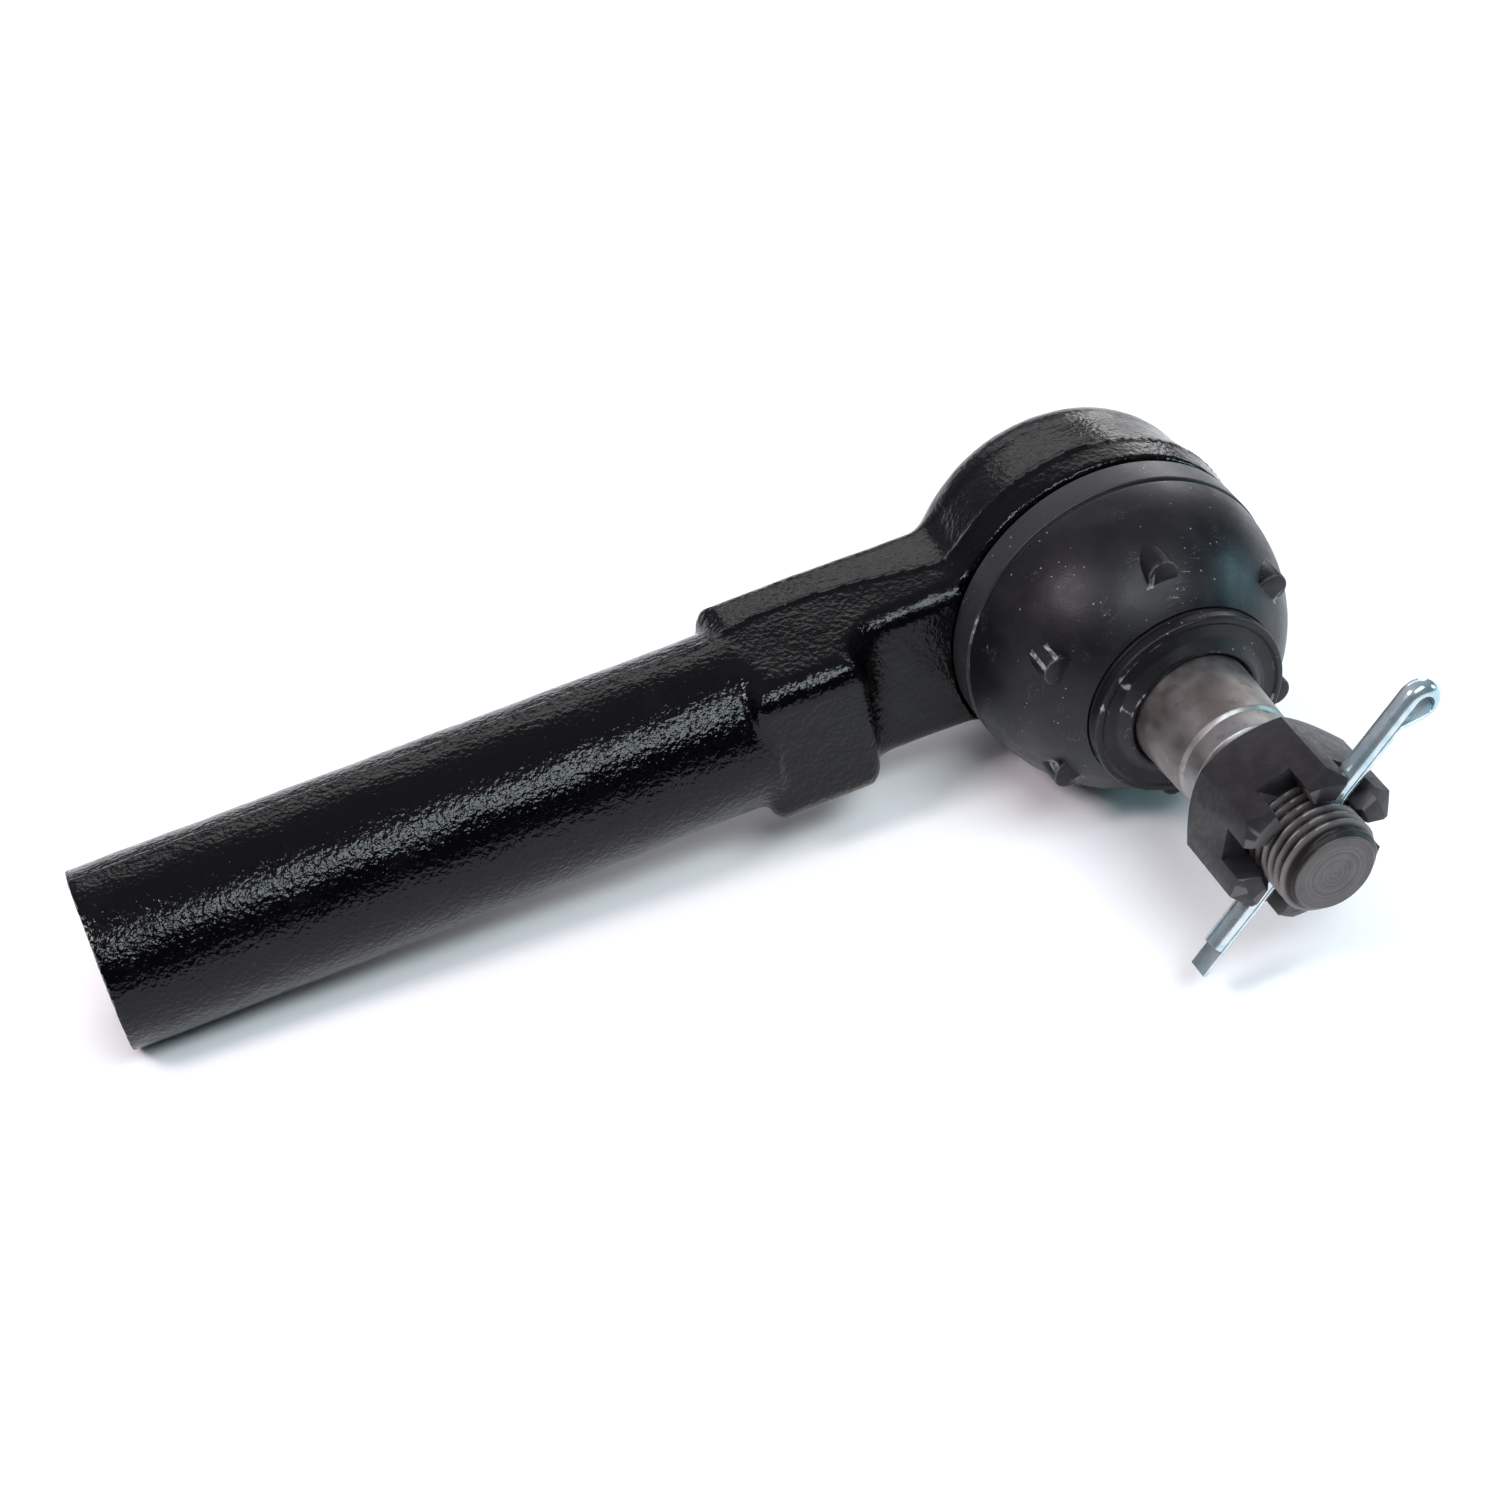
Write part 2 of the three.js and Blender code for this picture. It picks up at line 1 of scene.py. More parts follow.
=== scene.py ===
"""The looks of a tie rod end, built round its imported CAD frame.

Shapes are worked out in millimetres in the part's own frame and turned into metres when a mesh is made.
The origin is the ball's centre, the sleeve runs towards -X, and the stud leaves the socket along -Y.
A distance "along" is measured on the stud's axis from the ball's centre, so along = -y.
"""

import json
import math

import bmesh
import bpy
import numpy as np
from mathutils import Matrix, Vector


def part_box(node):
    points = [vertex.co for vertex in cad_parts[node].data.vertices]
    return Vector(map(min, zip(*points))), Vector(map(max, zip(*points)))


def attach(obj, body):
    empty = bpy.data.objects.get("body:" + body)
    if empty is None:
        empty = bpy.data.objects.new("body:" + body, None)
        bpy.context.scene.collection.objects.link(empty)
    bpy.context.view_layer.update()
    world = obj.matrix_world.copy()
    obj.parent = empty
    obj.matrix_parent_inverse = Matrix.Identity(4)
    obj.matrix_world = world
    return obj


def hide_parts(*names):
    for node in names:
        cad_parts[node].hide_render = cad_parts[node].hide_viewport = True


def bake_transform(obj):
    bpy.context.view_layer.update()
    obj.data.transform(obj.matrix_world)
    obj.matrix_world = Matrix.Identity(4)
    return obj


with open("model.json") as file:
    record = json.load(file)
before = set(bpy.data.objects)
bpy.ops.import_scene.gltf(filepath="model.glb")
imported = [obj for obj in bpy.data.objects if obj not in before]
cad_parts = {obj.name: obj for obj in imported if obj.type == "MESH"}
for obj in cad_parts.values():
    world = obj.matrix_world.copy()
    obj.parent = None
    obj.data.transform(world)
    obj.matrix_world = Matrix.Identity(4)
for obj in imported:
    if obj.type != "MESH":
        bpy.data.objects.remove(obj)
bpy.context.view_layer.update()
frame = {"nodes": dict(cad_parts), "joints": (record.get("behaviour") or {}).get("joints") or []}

MM = 0.001
TAU = 2 * math.pi


# ---------------------------------------------------------------- sizes taken from the frame

def corners(node):
    """Lowest and highest corner of a CAD node, in millimetres."""
    low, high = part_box(node)
    return low / MM, high / MM


HOUSING_LOW, HOUSING_HIGH = corners("housing")
STUD_LOW, STUD_HIGH = corners("ball_stud")
NUT_LOW, NUT_HIGH = corners("castle_nut")
BOOT_LOW, BOOT_HIGH = corners("dust_boot")
COVER_LOW, COVER_HIGH = corners("cover_plate")
FITTING_LOW, FITTING_HIGH = corners("grease_fitting")
RING_LOW, RING_HIGH = corners("boot_base_ring")
NECK_RING_LOW, NECK_RING_HIGH = corners("boot_neck_ring")
PIN_JOINT = next(j for j in frame["joints"] if j["name"] == "cotter_pin_slide")
PIN_TURN = math.degrees(math.atan2(PIN_JOINT["axis"][2], PIN_JOINT["axis"][0]))

SLEEVE_END = HOUSING_LOW.x
CUP_R = HOUSING_HIGH.z
CUP_BACK = -HOUSING_HIGH.y
SLEEVE_R = -HOUSING_LOW.y
STUD_END = -STUD_LOW.y
BALL_R = STUD_HIGH.z
BALL_FLAT = -STUD_HIGH.y
NUT_START, NUT_END = -NUT_HIGH.y, -NUT_LOW.y
BOOT_R = BOOT_HIGH.z
BOOT_START, BOOT_END = -BOOT_HIGH.y, -BOOT_LOW.y

# Sizes that the boxes don't give: the socket, its boss and neck, the stud, the nut, the pin and the boot.
CUP_LIP = 4.6
SEAT_R, SEAT_END = 20.2, 10.2
BOSS_FAR, BOSS_NEAR, BOSS_FRONT, BOSS_CORNER = -54.6, -38.0, -12.2, 4.2
NECK_FRONT, NECK_BACK, NECK_HALF, NECK_DRAFT = -6.2, 11.95, 12.9, 0.08
SHOULDER_START, SHOULDER_END = 42.4, 45.9
THREAD_R, THREAD_PITCH, THREAD_DEPTH = 6.98, 1.5, 0.9
NUT_TURN, NUT_ACROSS_FLATS = 47.5, 21
NUT_SLOT_FLOOR, NUT_SLOT_WIDTH = 58.1, 5
PIN_AT, PIN_R, PIN_ROLL, PIN_ASIDE = 59.95, 1.58, -90, 0.4
DOME_R, DOME_CENTRE, WALL = 23.3, 9.7, 2.2
BAND_START, BAND_END, BOOT_SEAM = 5.2, 10.1, 19.6
COLLAR_R, COLLAR_END, LIP_R = 14.2, 30.6, 10.2
FLOOR_GAP = 0.1


# ---------------------------------------------------------------- meshes

def new_object(name, vertices, faces, sharp=35):
    """A closed mesh from vertices in millimetres, smooth shaded apart from edges over the sharp angle."""
    mesh = bpy.data.meshes.new(name)
    mesh.from_pydata((np.asarray(vertices, float) * MM).tolist(), [], faces)
    body = bmesh.new()
    body.from_mesh(mesh)
    bmesh.ops.remove_doubles(body, verts=body.verts, dist=1e-7)
    bmesh.ops.recalc_face_normals(body, faces=body.faces)
    body.to_mesh(mesh)
    body.free()
    shade(mesh, sharp)
    piece = bpy.data.objects.new(name, mesh)
    bpy.context.scene.collection.objects.link(piece)
    return piece


def shade(mesh, sharp):
    """Smooth shading, with edges over the sharp angle in degrees kept sharp."""
    mesh.shade_smooth()
    mesh.set_sharp_from_angle(angle=math.radians(sharp))


def apply_modifiers(piece, sharp=35):
    """Makes a piece's modifiers part of its mesh."""
    bpy.context.view_layer.update()
    evaluated = piece.evaluated_get(bpy.context.evaluated_depsgraph_get())
    mesh = bpy.data.meshes.new_from_object(evaluated)
    piece.modifiers.clear()
    piece.data = mesh
    shade(mesh, sharp)
    return piece


def combine(piece, tools, operation, sharp=35):
    """Joins, cuts or intersects piece with each tool in turn, and removes the tools."""
    for tool in tools:
        modifier = piece.modifiers.new("combine", "BOOLEAN")
        modifier.object = tool
        modifier.operation = operation
        modifier.solver = "MANIFOLD"
    apply_modifiers(piece, sharp)
    for tool in tools:
        bpy.data.objects.remove(tool)
    return piece


def soften(piece, width, angle):
    """Rounds off the edges that are sharper than the angle."""
    modifier = piece.modifiers.new("soften", "BEVEL")
    modifier.width = width * MM
    modifier.segments = 2
    modifier.limit_method = "ANGLE"
    modifier.angle_limit = math.radians(angle)
    modifier.harden_normals = False
    modifier.use_clamp_overlap = True
    return apply_modifiers(piece)


def rounded(outline, steps=5):
    """An outline of (radius, along, fillet) corners as plain points, rounded by each corner's fillet."""
    points = []
    for i, (r, s, *fillet) in enumerate(outline):
        here = np.array([r, s], float)
        if not fillet:
            points.append(here)
            continue
        before = np.array(outline[i - 1][:2], float) - here
        after = np.array(outline[(i + 1) % len(outline)][:2], float) - here
        before_length, after_length = np.linalg.norm(before), np.linalg.norm(after)
        before, after = before / before_length, after / after_length
        half = math.acos(max(-1, min(1, float(before @ after)))) / 2
        reach = min(fillet[0] / math.tan(half), 0.49 * before_length, 0.49 * after_length)
        for k in range(steps + 1):
            t = k / steps
            points.append(here + (1 - t) ** 2 * before * reach + t ** 2 * after * reach)
    return points


def arc(centre_r, centre_along, radius, start, end, steps):
    """Points of an arc, from one angle to another in degrees, measured from the radial direction."""
    angles = np.radians(np.linspace(start, end, steps + 1))
    return [(centre_r + radius * math.cos(a), centre_along + radius * math.sin(a)) for a in angles]


def dome(radius, low, high, steps):
    """Points of the boot's sphere of a given radius, between two places along the stud's axis."""
    angles = [math.degrees(math.asin((s - DOME_CENTRE) / radius)) for s in (low, high)]
    return arc(0, DOME_CENTRE, radius, *angles, steps)


def dome_reach(radius, r):
    """How far along the stud's axis the boot's sphere has the radius r."""
    return DOME_CENTRE + math.sqrt(radius ** 2 - r ** 2)


def turned(name, outline, segments=144, relief=None):
    """An outline turned about the stud's axis. relief(along, turn) is taken off the radius of each ring."""
    turn = np.linspace(0, TAU, segments, endpoint=False)
    vertices, rings = [], []
    for r, s in outline:
        first = len(vertices)
        if r < 1e-6:
            vertices.append((0, -s, 0))
            rings.append([first] * segments)
            continue
        radii = r - (relief(s, turn) if relief else 0 * turn)
        vertices.extend(zip(radii * np.cos(turn), np.full(segments, -s), radii * np.sin(turn)))
        rings.append(list(range(first, first + segments)))
    closed = outline[0][0] > 1e-6
    faces = []
    for low, high in zip(rings, rings[1:] + (rings[:1] if closed else [])):
        for i in range(segments):
            j = (i + 1) % segments
            corners_of_face = [low[i], low[j], high[j], high[i]]
            face = list(dict.fromkeys(corners_of_face))
            if len(face) > 2:
                faces.append(face)
    return new_object(name, vertices, faces)


def lay_along_sleeve(piece):
    """Turns a piece made on the stud's axis so that its along direction is the sleeve's, towards -X."""
    piece.data.transform(Matrix.Rotation(math.radians(-90), 4, "Z"))
    return piece


def prism(name, outline, start, end):
    """A flat outline of (x, z) points, extruded along the stud's axis."""
    count = len(outline)
    vertices = [(x, -s, z) for s in (start, end) for x, z in outline]
    sides = [(i, (i + 1) % count, count + (i + 1) % count, count + i) for i in range(count)]
    return new_object(name, vertices, [tuple(range(count)), tuple(range(count, 2 * count)), *sides])


def hexagon(across_flats, flat_turn):
    """Corners of a hexagon with the normal of one flat at flat_turn degrees."""
    reach = across_flats / math.sqrt(3)
    angles = [math.radians(flat_turn + 30 + 60 * i) for i in range(6)]
    return [(reach * math.cos(a), reach * math.sin(a)) for a in angles]


def thread(start, end, fade_in, fade_out):
    """Relief of a 60 degree thread between two places, with flattened crests and roots."""
    def relief(s, turn):
        phase = (s / THREAD_PITCH - turn / TAU) % 1
        from_crest = np.abs(phase - 0.5) * 2
        cut = np.clip((from_crest - 0.14) / 0.66, 0, 1)
        fade = min(max((s - start) / fade_in, 0), 1) * min(max((end - s) / fade_out, 0), 1)
        return THREAD_DEPTH * fade * cut
    return relief


def fine_rows(outline, start, end, step):
    """An outline with extra points between start and end, so that a thread's relief shows there."""
    points = []
    for (r0, s0), (r1, s1) in zip(outline, outline[1:]):
        points.append((r0, s0))
        low, high = max(start, min(s0, s1)), min(end, max(s0, s1))
        if high - low > step and abs(s1 - s0) > 1e-6:
            for t in np.arange(low, high, step)[1:]:
                share = (t - s0) / (s1 - s0)
                points.append((r0 + (r1 - r0) * share, t))
    points.append(outline[-1])
    return points


# ---------------------------------------------------------------- socket forging

def blended(a, b, reach):
    """Union of two distance fields with a fillet of about that reach between them."""
    share = np.clip(0.5 + 0.5 * (b - a) / reach, 0, 1)
    return b * (1 - share) + a * share - reach * share * (1 - share)


def crossed(a, b, edge):
    """Intersection of two distance fields with its outer edge rounded to the radius edge."""
    outside = np.hypot(np.maximum(a + edge, 0), np.maximum(b + edge, 0))
    return outside + np.minimum(np.maximum(a, b) + edge, 0) - edge


def bar(x, y, z, x_low, x_high, y_low, y_high, half, corner, edge):
    """Distance to a bar along X with a rounded rectangular section and rounded ends."""
    across = np.abs(y - (y_low + y_high) / 2) - (y_high - y_low) / 2 + corner
    upright = np.abs(z) - half + corner
    section = np.hypot(np.maximum(across, 0), np.maximum(upright, 0))
    section = section + np.minimum(np.maximum(across, upright), 0) - corner
    ends = np.abs(x - (x_low + x_high) / 2) - (x_high - x_low) / 2
    return crossed(section, ends, edge)


def lumps(x, y, z):
    """Slow unevenness of a forged and painted skin, from -1 to 1."""
    waves = [
        (0.31, 0.47, 0.23, 0.0),
        (0.83, -0.59, 0.71, 1.3),
        (-0.67, 1.13, 0.93, 2.1),
        (1.9, 1.4, -1.7, 0.4)]
    total = sum(np.sin(a * x + b * y + c * z + p) / (1 + i) for i, (a, b, c, p) in enumerate(waves))
    return total / 2.1


def smooth(value, low, high):
    """A share that rises smoothly from 0 at low to 1 at high."""
    share = np.clip((value - low) / (high - low), 0, 1)
    return share * share * (3 - 2 * share)


def forging(points):
    """Distance to the forging's skin, before its machined bores, at points in millimetres."""
    back_round, cup_fillet, boss_fillet, tube_fillet = 7.8, 2.4, 5.5, 1.1
    skin_room, lump, bead_width, sleeve_bead = 0.28, 0.06, 0.45, 0.2
    x, y, z = points[..., 0], points[..., 1], points[..., 2]
    along = -y
    around = np.hypot(x, z)
    parting = 2.2 + 1.4 * smooth(x, -60, -46) - 3.6 * smooth(x, -42, -16)
    half = NECK_HALF - NECK_DRAFT * np.abs(y - parting)
    tube_half = (BOSS_FAR + 2 - SLEEVE_END) / 2
    tube_end = np.abs(x - (SLEEVE_END + tube_half) - 0.1) - tube_half + 0.1
    tube = crossed(np.hypot(y, z) - SLEEVE_R, tube_end, 0.35)
    neck = bar(x, y, z, BOSS_FAR + 6, -12, NECK_FRONT, NECK_BACK, half, 3.2, 0.5)
    plate = bar(y, x, z, BOSS_FRONT, NECK_BACK, BOSS_FAR, BOSS_NEAR, half, BOSS_CORNER, 1.8)
    envelope = bar(x, y, z, BOSS_FAR - 9, 0, BOSS_FRONT, NECK_BACK, half, 3.6, 0.5)
    neck = np.maximum(blended(plate, neck, boss_fillet), envelope)
    draft = 1.1 * np.clip(y / 8, 0, 1) + 0.35 * np.clip(along / CUP_LIP, 0, 1)
    cup = crossed(around - CUP_R + skin_room + draft, y + CUP_BACK, back_round)
    cup = crossed(cup, along - CUP_LIP, 0.6)
    skin = blended(tube, neck, tube_fillet)
    skin = blended(skin, cup, cup_fillet)
    bead = 0.08 - 0.035 * smooth(x, -26, -18)
    skin = skin - lump * lumps(x, y, z) - bead * np.exp(-(((y - parting) / bead_width) ** 2))
    clear_of_end = np.clip((x - SLEEVE_END - 0.5) / 2, 0, 1)
    skin = skin - sleeve_bead * clear_of_end * np.exp(-(((y - parting) / 0.3) ** 2))
    seat = crossed(around - SEAT_R, np.maximum(along - SEAT_END, -along - 10), 0.5)
    boot_room = np.maximum(np.maximum(SEAT_R - 3 - around, around - BOOT_R - 0.35), CUP_LIP - along)
    return np.minimum(np.maximum(skin, -boot_room), seat)


def surface_net(field, low, high, step):
    """Quads round the zero surface of a distance field, one vertex to each grid cell that it crosses."""
    axes = [np.arange(a, b + step, step) for a, b in zip(low, high)]
    inside = field(np.stack(np.meshgrid(*axes, indexing="ij"), -1)) < 0
    cells = [np.s_[:-1], np.s_[1:]]
    stack = np.stack([inside[i, j, k] for i in cells for j in cells for k in cells])
    crossed_cells = stack.any(0) & ~stack.all(0)
    number = np.full(crossed_cells.shape, -1)
    number[crossed_cells] = np.arange(crossed_cells.sum())
    vertices = np.array(low) + (np.argwhere(crossed_cells) + 0.5) * step
    faces = []
    for axis in range(3):
        near = np.take(inside, range(inside.shape[axis] - 1), axis)
        far = np.take(inside, range(1, inside.shape[axis]), axis)
        for flips, forward in ((near & ~far, True), (far & ~near, False)):
            at = np.argwhere(flips)
            u, v = np.eye(3, dtype=int)[(axis + 1) % 3], np.eye(3, dtype=int)[(axis + 2) % 3]
            loop = [at - u - v, at - v, at, at - u]
            quad = np.stack([number[tuple(p.T)] for p in (loop if forward else loop[::-1])], 1)
            faces.append(quad)
    return vertices, np.concatenate(faces)


def settle(field, vertices, faces, rounds=4):
    """Evens out the net's vertices and moves them on to the zero surface of the field."""
    edges = np.concatenate([faces[:, [0, 1]], faces[:, [1, 2]], faces[:, [2, 3]], faces[:, [3, 0]]])
    edges = np.concatenate([edges, edges[:, ::-1]])
    count = np.bincount(edges[:, 0], minlength=len(vertices))[:, None]
    for _ in range(rounds):
        total = np.stack([np.bincount(edges[:, 0], vertices[edges[:, 1], i]) for i in range(3)], 1)
        vertices = 0.4 * vertices + 0.6 * total / count
        for _ in range(3):
            vertices = vertices - slope_step(field, vertices)
    return vertices


def slope_step(field, points, reach=0.02):
    """The move from each point to the field's zero surface, by its slope there."""
    here = field(points)
    steps = reach * np.eye(3)
    slope = np.stack([field(points + step) - field(points - step) for step in steps], -1) / (2 * reach)
    size = np.maximum((slope ** 2).sum(-1), 0.2)
    return np.clip(here / size, -0.6, 0.6)[:, None] * slope


def sleeve_bore():
    """The tapped bore of the sleeve as a cutter, with a chamfered mouth."""
    minor, major, depth = 7.25, 8.05, 84
    mouth = -SLEEVE_END
    outline = [
        (0, mouth - depth - 4.2), (minor, mouth - depth), (major, mouth - depth + 0.2), (major, mouth - 0.9),
        (major + 0.75, mouth - 0.15), (major + 0.85, mouth + 1), (0, mouth + 1)]
    relief = thread(mouth - depth + 1, mouth - 0.6, 1, 0.8)
    cutter = turned("sleeve_bore", fine_rows(outline, mouth - 40, mouth - 0.9, 0.16), 96, relief)
    return lay_along_sleeve(cutter)


def socket_bore():
    """The stepped bore that holds the ball, its bearings and the cover plate, as a cutter."""
    mouth_r, mouth_inner, bore_r, cover_r = 11.4, 7.3, 16.2, COVER_HIGH.z + 0.25
    cover_inner, cover_outer = -COVER_LOW.y, -15.2
    return turned("socket_bore", rounded([
        (0, SEAT_END + 1), (mouth_r + 1.9, SEAT_END + 1), (mouth_r + 1.7, SEAT_END),
        (mouth_r, mouth_inner + 0.6), (mouth_r, mouth_inner), (bore_r, mouth_inner),
        (bore_r, cover_inner + 0.3), (cover_r, cover_inner + 0.3), (cover_r, cover_outer),
        (cover_r - 1.5, cover_outer), (cover_r - 1.6, CUP_BACK + 0.5, 0.4),
        (cover_r - 0.8, CUP_BACK - 1), (0, CUP_BACK - 1)]), 96)


def make_housing():
    step = 0.55
    low = [value - 2 * step for value in HOUSING_LOW]
    high = [value + 2 * step for value in HOUSING_HIGH]
    vertices, faces = surface_net(forging, low, high, step)
    vertices = settle(forging, vertices, faces)
    piece = new_object("forged_socket", vertices, faces.tolist(), 50)
    return combine(piece, [sleeve_bore(), socket_bore()], "DIFFERENCE", 40)


# ---------------------------------------------------------------- other pieces

def make_cover_plate():
    hole, boss_r, boss_top = 3.25, 6.2, -COVER_HIGH.y
    face, groove = -15, 0.3
    return turned("cover_plate_stamping", rounded([
        (hole, -COVER_LOW.y), (hole, boss_top, 0.2), (boss_r, boss_top, 0.5), (7.4, face, 0.6),
        (12.2, face, 0.4), (12.8, face + groove, 0.4), (13.6, face + groove, 0.4), (14.2, face, 0.4),
        (COVER_HIGH.z, face), (COVER_HIGH.z, -COVER_LOW.y)]))


def make_grease_fitting():
    """The grease nipple's turned stem, with its grooved head and the check ball's seat, and its hexagon."""
    hex_start, hex_end = COVER_HIGH.y + 0.3, COVER_HIGH.y + 3.3
    tip = FITTING_HIGH.y
    shank_start = FITTING_LOW.y
    stem = turned("grease_nipple", rounded([
        (1, -shank_start), (1, -hex_start - 1), (1.65, -hex_start - 1), (1.65, -tip + 1.9),
        (0.8, -tip + 0.6), (0.8, -tip), (1.9, -tip, 0.2), (3.25, -tip + 1.7, 0.2), (3.25, -tip + 2.4, 0.3),
        (2.2, -tip + 3.6, 0.4), (2.2, -tip + 4.4, 0.4), (2.9, -hex_end - 1, 0.2), (2.9, -hex_end + 0.5),
        (3, -hex_end + 0.6), (3, -shank_start - 0.3), (2.7, -shank_start)]), 96)
    head = prism("grease_nipple_hexagon", hexagon(7, 30), -hex_start, -hex_end)
    limits = turned("limits", [
        (0, -hex_start + 0.01), (3.5, -hex_start + 0.01), (4.1, -hex_start - 0.4), (4.1, -hex_end + 0.6),
        (3.3, -hex_end - 0.01), (0, -hex_end - 0.01)], 96)
    combine(head, [limits], "INTERSECT")
    bore_r = 3.02
    bore = turned("bore", [
        (0, -hex_start + 1), (bore_r, -hex_start + 1), (bore_r, -hex_end - 1), (0, -hex_end - 1)], 96)
    combine(head, [bore], "DIFFERENCE")
    return stem, head


def make_stud():
    neck_r = 6.6
    ball_angle = math.degrees(math.asin(BALL_FLAT / BALL_R))
    neck_angle = math.degrees(math.acos(neck_r / BALL_R))
    thread_start, thread_end = SHOULDER_END + 0.5, STUD_END - 0.5
    shank = rounded([
        (neck_r, 14.2, 1.5), (7.3, 16, 1.5), (8.2, 18.2, 0.5), (8.8, 19.5, 0.5), (8.75, 28), (8.6, 35),
        (8.3, SHOULDER_START, 0.25), (7.86, SHOULDER_START + 0.55, 0.25), (7.8, SHOULDER_END, 0.3),
        (THREAD_R, SHOULDER_END + 0.9), (THREAD_R, STUD_END - 1.5, 0.1), (5.5, STUD_END, 0.1),
        (1.1, STUD_END), (0.6, STUD_END - 0.12), (0, STUD_END - 0.12)])
    outline = [(0, BALL_FLAT), *arc(0, 0, BALL_R, ball_angle, neck_angle, 40), *shank]
    outline = fine_rows(outline, thread_start, STUD_END - 0.2, 0.125)
    stud = turned("turned_stud", outline, 144, thread(thread_start, thread_end, 1.5, 0.5))
    hole_r = PIN_R + PIN_ASIDE + 0.2
    hole = turned("hole", [(0, -20), (hole_r, -20), (hole_r, 20), (0, 20)], 48)
    hole.data.transform(Matrix.Rotation(math.radians(90), 4, "Z"))
    hole.data.transform(Matrix.Rotation(math.radians(-PIN_TURN), 4, "Y"))
    hole.data.transform(Matrix.Translation((0, -PIN_AT * MM, 0)))
    return combine(stud, [hole], "DIFFERENCE", 50)


def make_nut():
    corner_r = NUT_ACROSS_FLATS / math.sqrt(3)
    nut = prism("slotted_nut", hexagon(NUT_ACROSS_FLATS, NUT_TURN), NUT_START, NUT_END)
    limits = turned("limits", [
        (0, NUT_START - 0.01), (corner_r - 2, NUT_START - 0.01), (corner_r - 1.9, NUT_START + 0.2),
        (corner_r + 0.3, NUT_START + 1.7), (corner_r + 0.3, NUT_END - 1.4), (10.0, NUT_END + 0.01),
        (0, NUT_END + 0.01)], 120)
    bore = turned("bore", [
        (0, NUT_START - 1), (THREAD_R + 2.1, NUT_START - 1), (THREAD_R + 0.06, NUT_START + 1.0),
        (THREAD_R + 0.06, NUT_END - 0.8), (THREAD_R + 1.7, NUT_END + 1), (0, NUT_END + 1)], 96)
    slots = []
    half = NUT_SLOT_WIDTH / 2
    for i in range(3):
        angle = math.radians(NUT_TURN + 60 * i)
        turn = np.array([[math.cos(angle), -math.sin(angle)], [math.sin(angle), math.cos(angle)]])
        outline = [tuple(turn @ p) for p in ((-20, -half), (20, -half), (20, half), (-20, half))]
        slots.append(prism("slot", outline, NUT_SLOT_FLOOR, NUT_END + 1))
    combine(nut, [limits], "INTERSECT")
    combine(nut, [bore, *slots], "DIFFERENCE")
    merge_flats(nut)
    return soften(nut, 0.16, 20)


def merge_flats(piece):
    """Joins the flat triangles that a boolean leaves into whole faces, so that edges bevel cleanly."""
    body = bmesh.new()
    body.from_mesh(piece.data)
    bmesh.ops.dissolve_limit(body, angle_limit=math.radians(0.6), verts=body.verts, edges=body.edges)
    body.to_mesh(piece.data)
    body.free()


def make_pin():
    """A half-round wire folded into two legs, swept along its inner line in the plane of the fold."""
    eye_start, eye_centre, hole_r, split = 18.0, 22.7, 1.4, 0.05
    long_end, short_end = -22.5, -18.4
    t = np.linspace(0, 1, 25)[1:]
    ease = t * t * (3 - 2 * t)
    swell = np.stack([eye_start + (eye_centre - eye_start) * t, split + 2 * (hole_r - split) * ease], 1)
    bend = [(eye_centre + hole_r * math.sin(a), hole_r - split + hole_r * math.cos(a))
            for a in np.linspace(0, math.pi, 23)[1:-1]]
    long_leg = [(x, split) for x in np.linspace(long_end, eye_start, 24)]
    short_leg = [(x, -split) for x in np.linspace(eye_centre, short_end, 30)]
    line = np.array(long_leg + swell.tolist() + bend + short_leg)
    heading = np.gradient(line, axis=0)
    heading /= np.linalg.norm(heading, axis=1)[:, None]
    outward = np.stack([-heading[:, 1], heading[:, 0]], 1)
    section = rounded([(0, -PIN_R, 0.3), *arc(0, 0, PIN_R, -80, 80, 16), (0, PIN_R, 0.3)], 3)
    vertices = []
    for place, out in zip(line, outward):
        vertices.extend((*(place + out * depth), across) for depth, across in section)
    count = len(section)
    faces = [tuple(range(count)), tuple(range(len(vertices) - count, len(vertices)))]
    for i in range(len(line) - 1):
        for j in range(count):
            k = (j + 1) % count
            faces.append((i * count + j, i * count + k, (i + 1) * count + k, (i + 1) * count + j))
    pin = new_object("folded_pin", vertices, faces, 45)
    pin.data.transform(Matrix.Rotation(math.radians(PIN_ROLL), 4, "X"))
    pin.data.transform(Matrix.Translation((0, 0, PIN_ASIDE * MM)))
    pin.data.transform(Matrix.Rotation(math.radians(-PIN_TURN), 4, "Y"))
    pin.data.transform(Matrix.Translation((0, -PIN_AT * MM, 0)))
    return pin


def make_boot_skirt():
    """The boot's base band, with its ring groove, and the lower part of its dome."""
    inner, groove = DOME_R - WALL, RING_HIGH.z + 0.3
    ring_low, ring_high = -RING_HIGH.y - 0.3, -RING_LOW.y + 0.3
    band = rounded([
        (SEAT_R + 0.3, BOOT_START, 0.2), (BOOT_R - 0.8, BOOT_START, 0.3), (BOOT_R, BOOT_START + 0.9, 0.4),
        (BOOT_R, BAND_END, 0.3), (23.1, 10.3, 0.1), (23.05, 10.5, 0.1), (DOME_R - 0.05, 10.75)])
    inside = [(SEAT_R + 0.3, 11.0), (SEAT_R + 0.3, ring_high), (groove, ring_high), (groove, ring_low),
              (SEAT_R + 0.3, ring_low)]
    outline = band + dome(DOME_R, 10.9, BOOT_SEAM, 26) + dome(inner, BOOT_SEAM, 11.4, 16) + inside
    return turned("boot_skirt", outline, 192)


